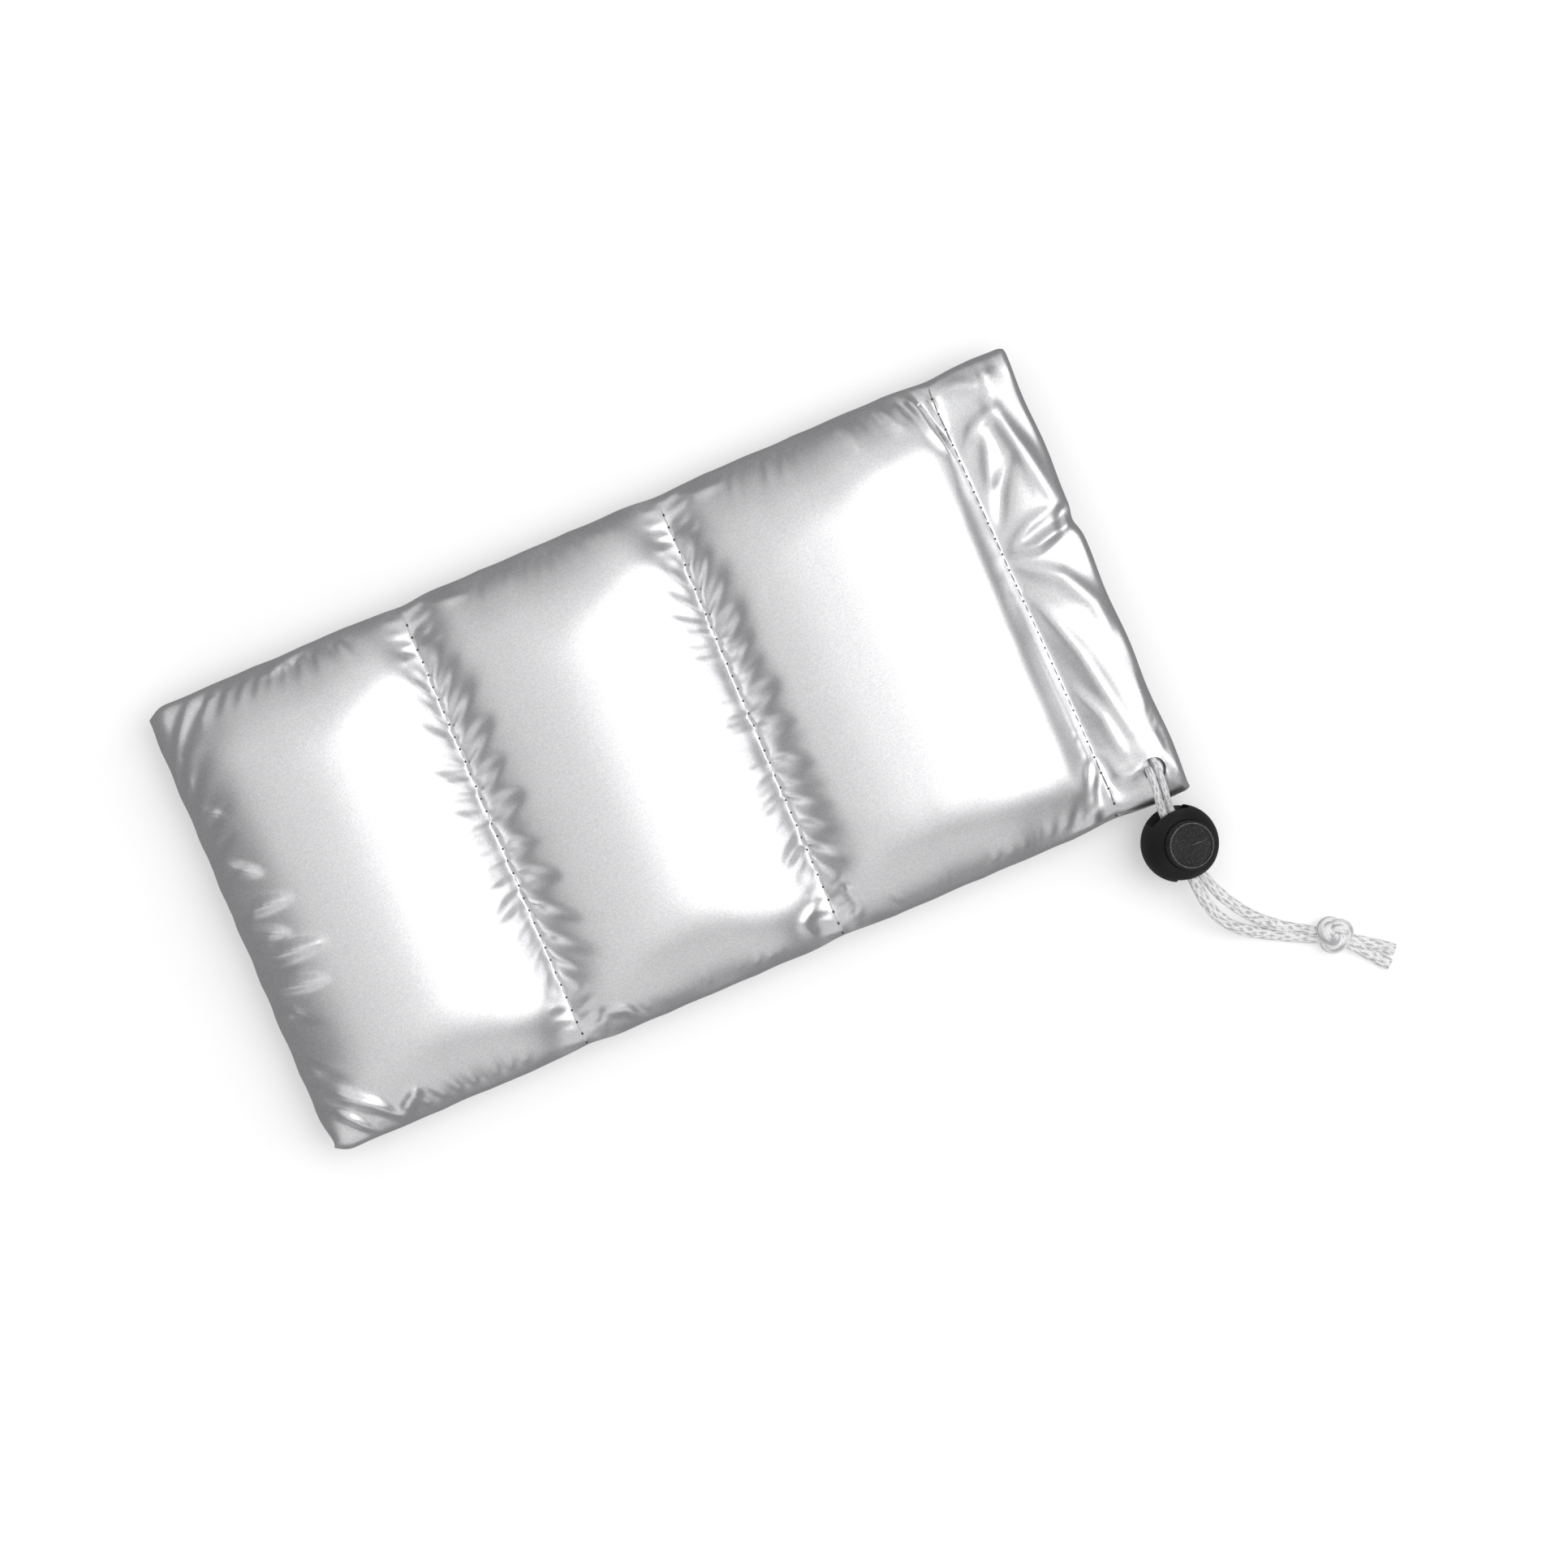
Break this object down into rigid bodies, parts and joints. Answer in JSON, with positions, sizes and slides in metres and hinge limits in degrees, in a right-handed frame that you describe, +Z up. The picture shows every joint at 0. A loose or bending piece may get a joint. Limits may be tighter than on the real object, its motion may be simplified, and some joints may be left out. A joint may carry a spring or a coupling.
{
  "type": "drawstring pouch",
  "caption": "Small quilted padded pouch lying flat, with a cord casing at its open mouth, a drawcord and a push-button ball cord lock.",
  "frame": {"origin": "centre of the pouch's footprint, on the surface it lies on", "axes": "+X along the pouch towards its mouth, +Y across it away from the cord lock, +Z up from the surface it lies on"},
  "size_m": [0.206, 0.1412, 0.0195],
  "materials": {
    "metallic_fabric": "silver metallic coated woven fabric, satin to glossy",
    "wadding": "soft polyester wadding",
    "lining_fabric": "plain grey woven lining",
    "seam_edge": "cut fabric edge",
    "thread": "grey polyester sewing thread",
    "satin_cord": "shiny white satin braid",
    "lock_plastic": "smooth matte black",
    "button_plastic": "matte black, sparked texture on the button's face",
    "spring_steel": "bright steel wire"
  },
  "bodies": {
    "pouch": {"front_shell": "metallic_fabric", "back_shell": "metallic_fabric", "casing_front": "metallic_fabric", "casing_back": "metallic_fabric", "front_fill_closed_end": "wadding", "front_fill_middle": "wadding", "front_fill_mouth": "wadding", "back_fill_closed_end": "wadding", "back_fill_middle": "wadding", "back_fill_mouth": "wadding", "front_lining": "lining_fabric", "back_lining": "lining_fabric", "side_seam_left": "seam_edge", "side_seam_right": "seam_edge", "end_seam": "seam_edge", "quilt_stitches_front_1": "thread", "quilt_stitches_front_2": "thread", "quilt_stitches_back_1": "thread", "quilt_stitches_back_2": "thread", "casing_stitches_front": "thread", "casing_stitches_back": "thread", "drawcord_loop": "satin_cord", "drawcord_strand_a": "satin_cord", "drawcord_strand_b": "satin_cord", "drawcord_knot": "satin_cord", "drawcord_tail_a": "satin_cord", "drawcord_tail_b": "satin_cord"},
    "cord_lock": {"lock_body": "lock_plastic", "lock_spring": "spring_steel"},
    "lock_button": {"lock_plunger": "button_plastic"}
  },
  "joints": [
    {"name": "lock_slide", "type": "slide", "parent": "pouch", "child": "cord_lock", "axis": [0.14, -0.9902, 0], "range_m": [0, 0.008], "deforming": ["drawcord_strand_a", "drawcord_strand_b"]},
    {"name": "button_press", "type": "slide", "parent": "cord_lock", "child": "lock_button", "axis": [-0.181, 0.127, -0.9752], "range_m": [0, 0.0026], "stiffness_N_per_m": 900, "deforming": ["lock_spring"]}
  ]
}
